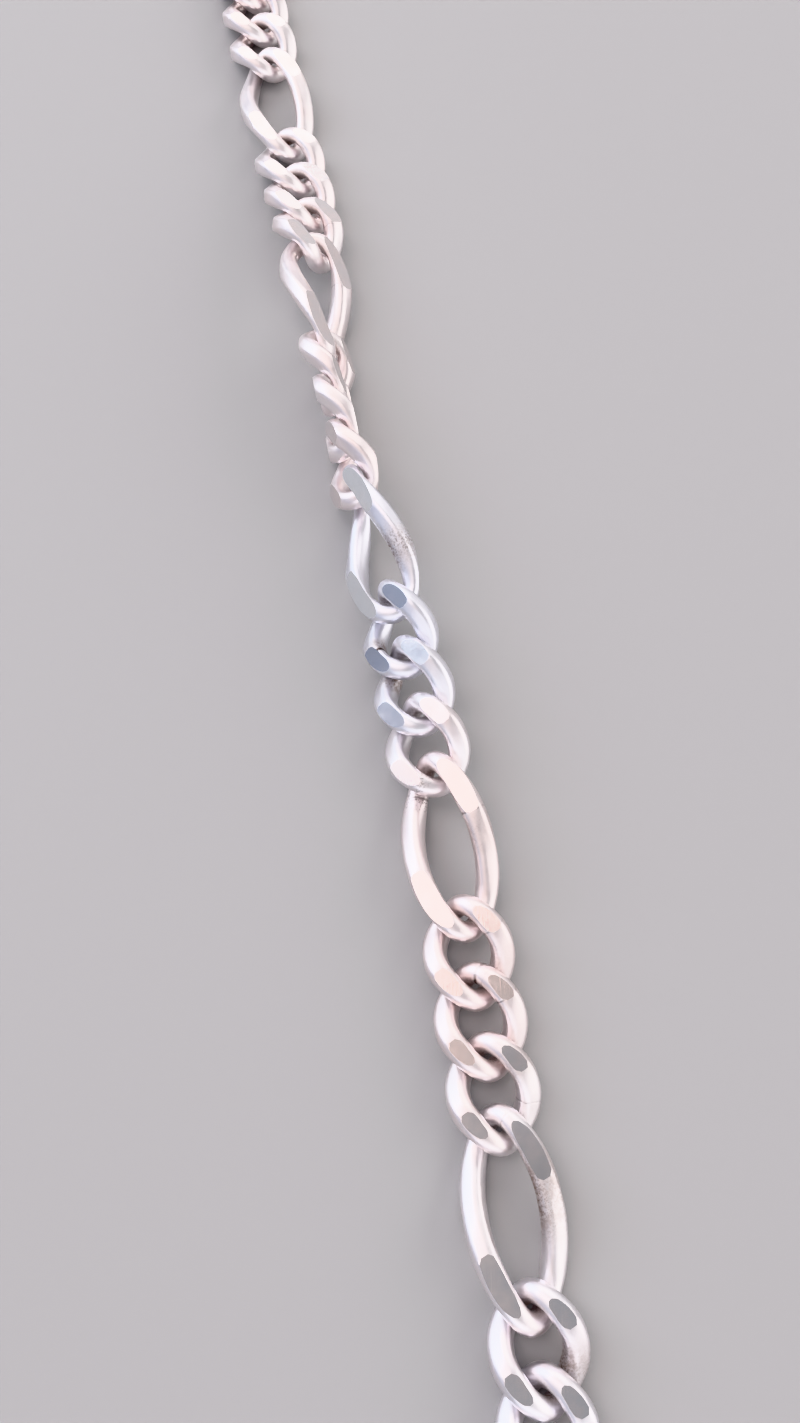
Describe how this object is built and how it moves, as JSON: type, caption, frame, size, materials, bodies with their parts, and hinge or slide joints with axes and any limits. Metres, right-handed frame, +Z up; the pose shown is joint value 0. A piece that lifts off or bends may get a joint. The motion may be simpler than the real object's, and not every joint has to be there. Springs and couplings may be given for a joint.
{
  "type": "figaro chain necklace",
  "caption": "Silver figaro chain necklace lying flat and closed: short and long flat-cut curb links in turn round the whole loop, joined by a plain clasp.",
  "frame": {"origin": "on the surface that the chain lies on, under the middle of the loop's outline", "axes": "+Z up from the surface, +Y along the loop's longer way, from the near end of the chain in the picture to its far end, +X to the right, towards the stretch that the picture shows"},
  "size_m": [0.0992, 0.172, 0.0043],
  "materials": {
    "silver": "polished silver wire with satin flat-cut faces"
  },
  "bodies": {
    "root": {"short_links": "silver", "long_links": "silver", "clasp": "silver"}
  },
  "joints": []
}
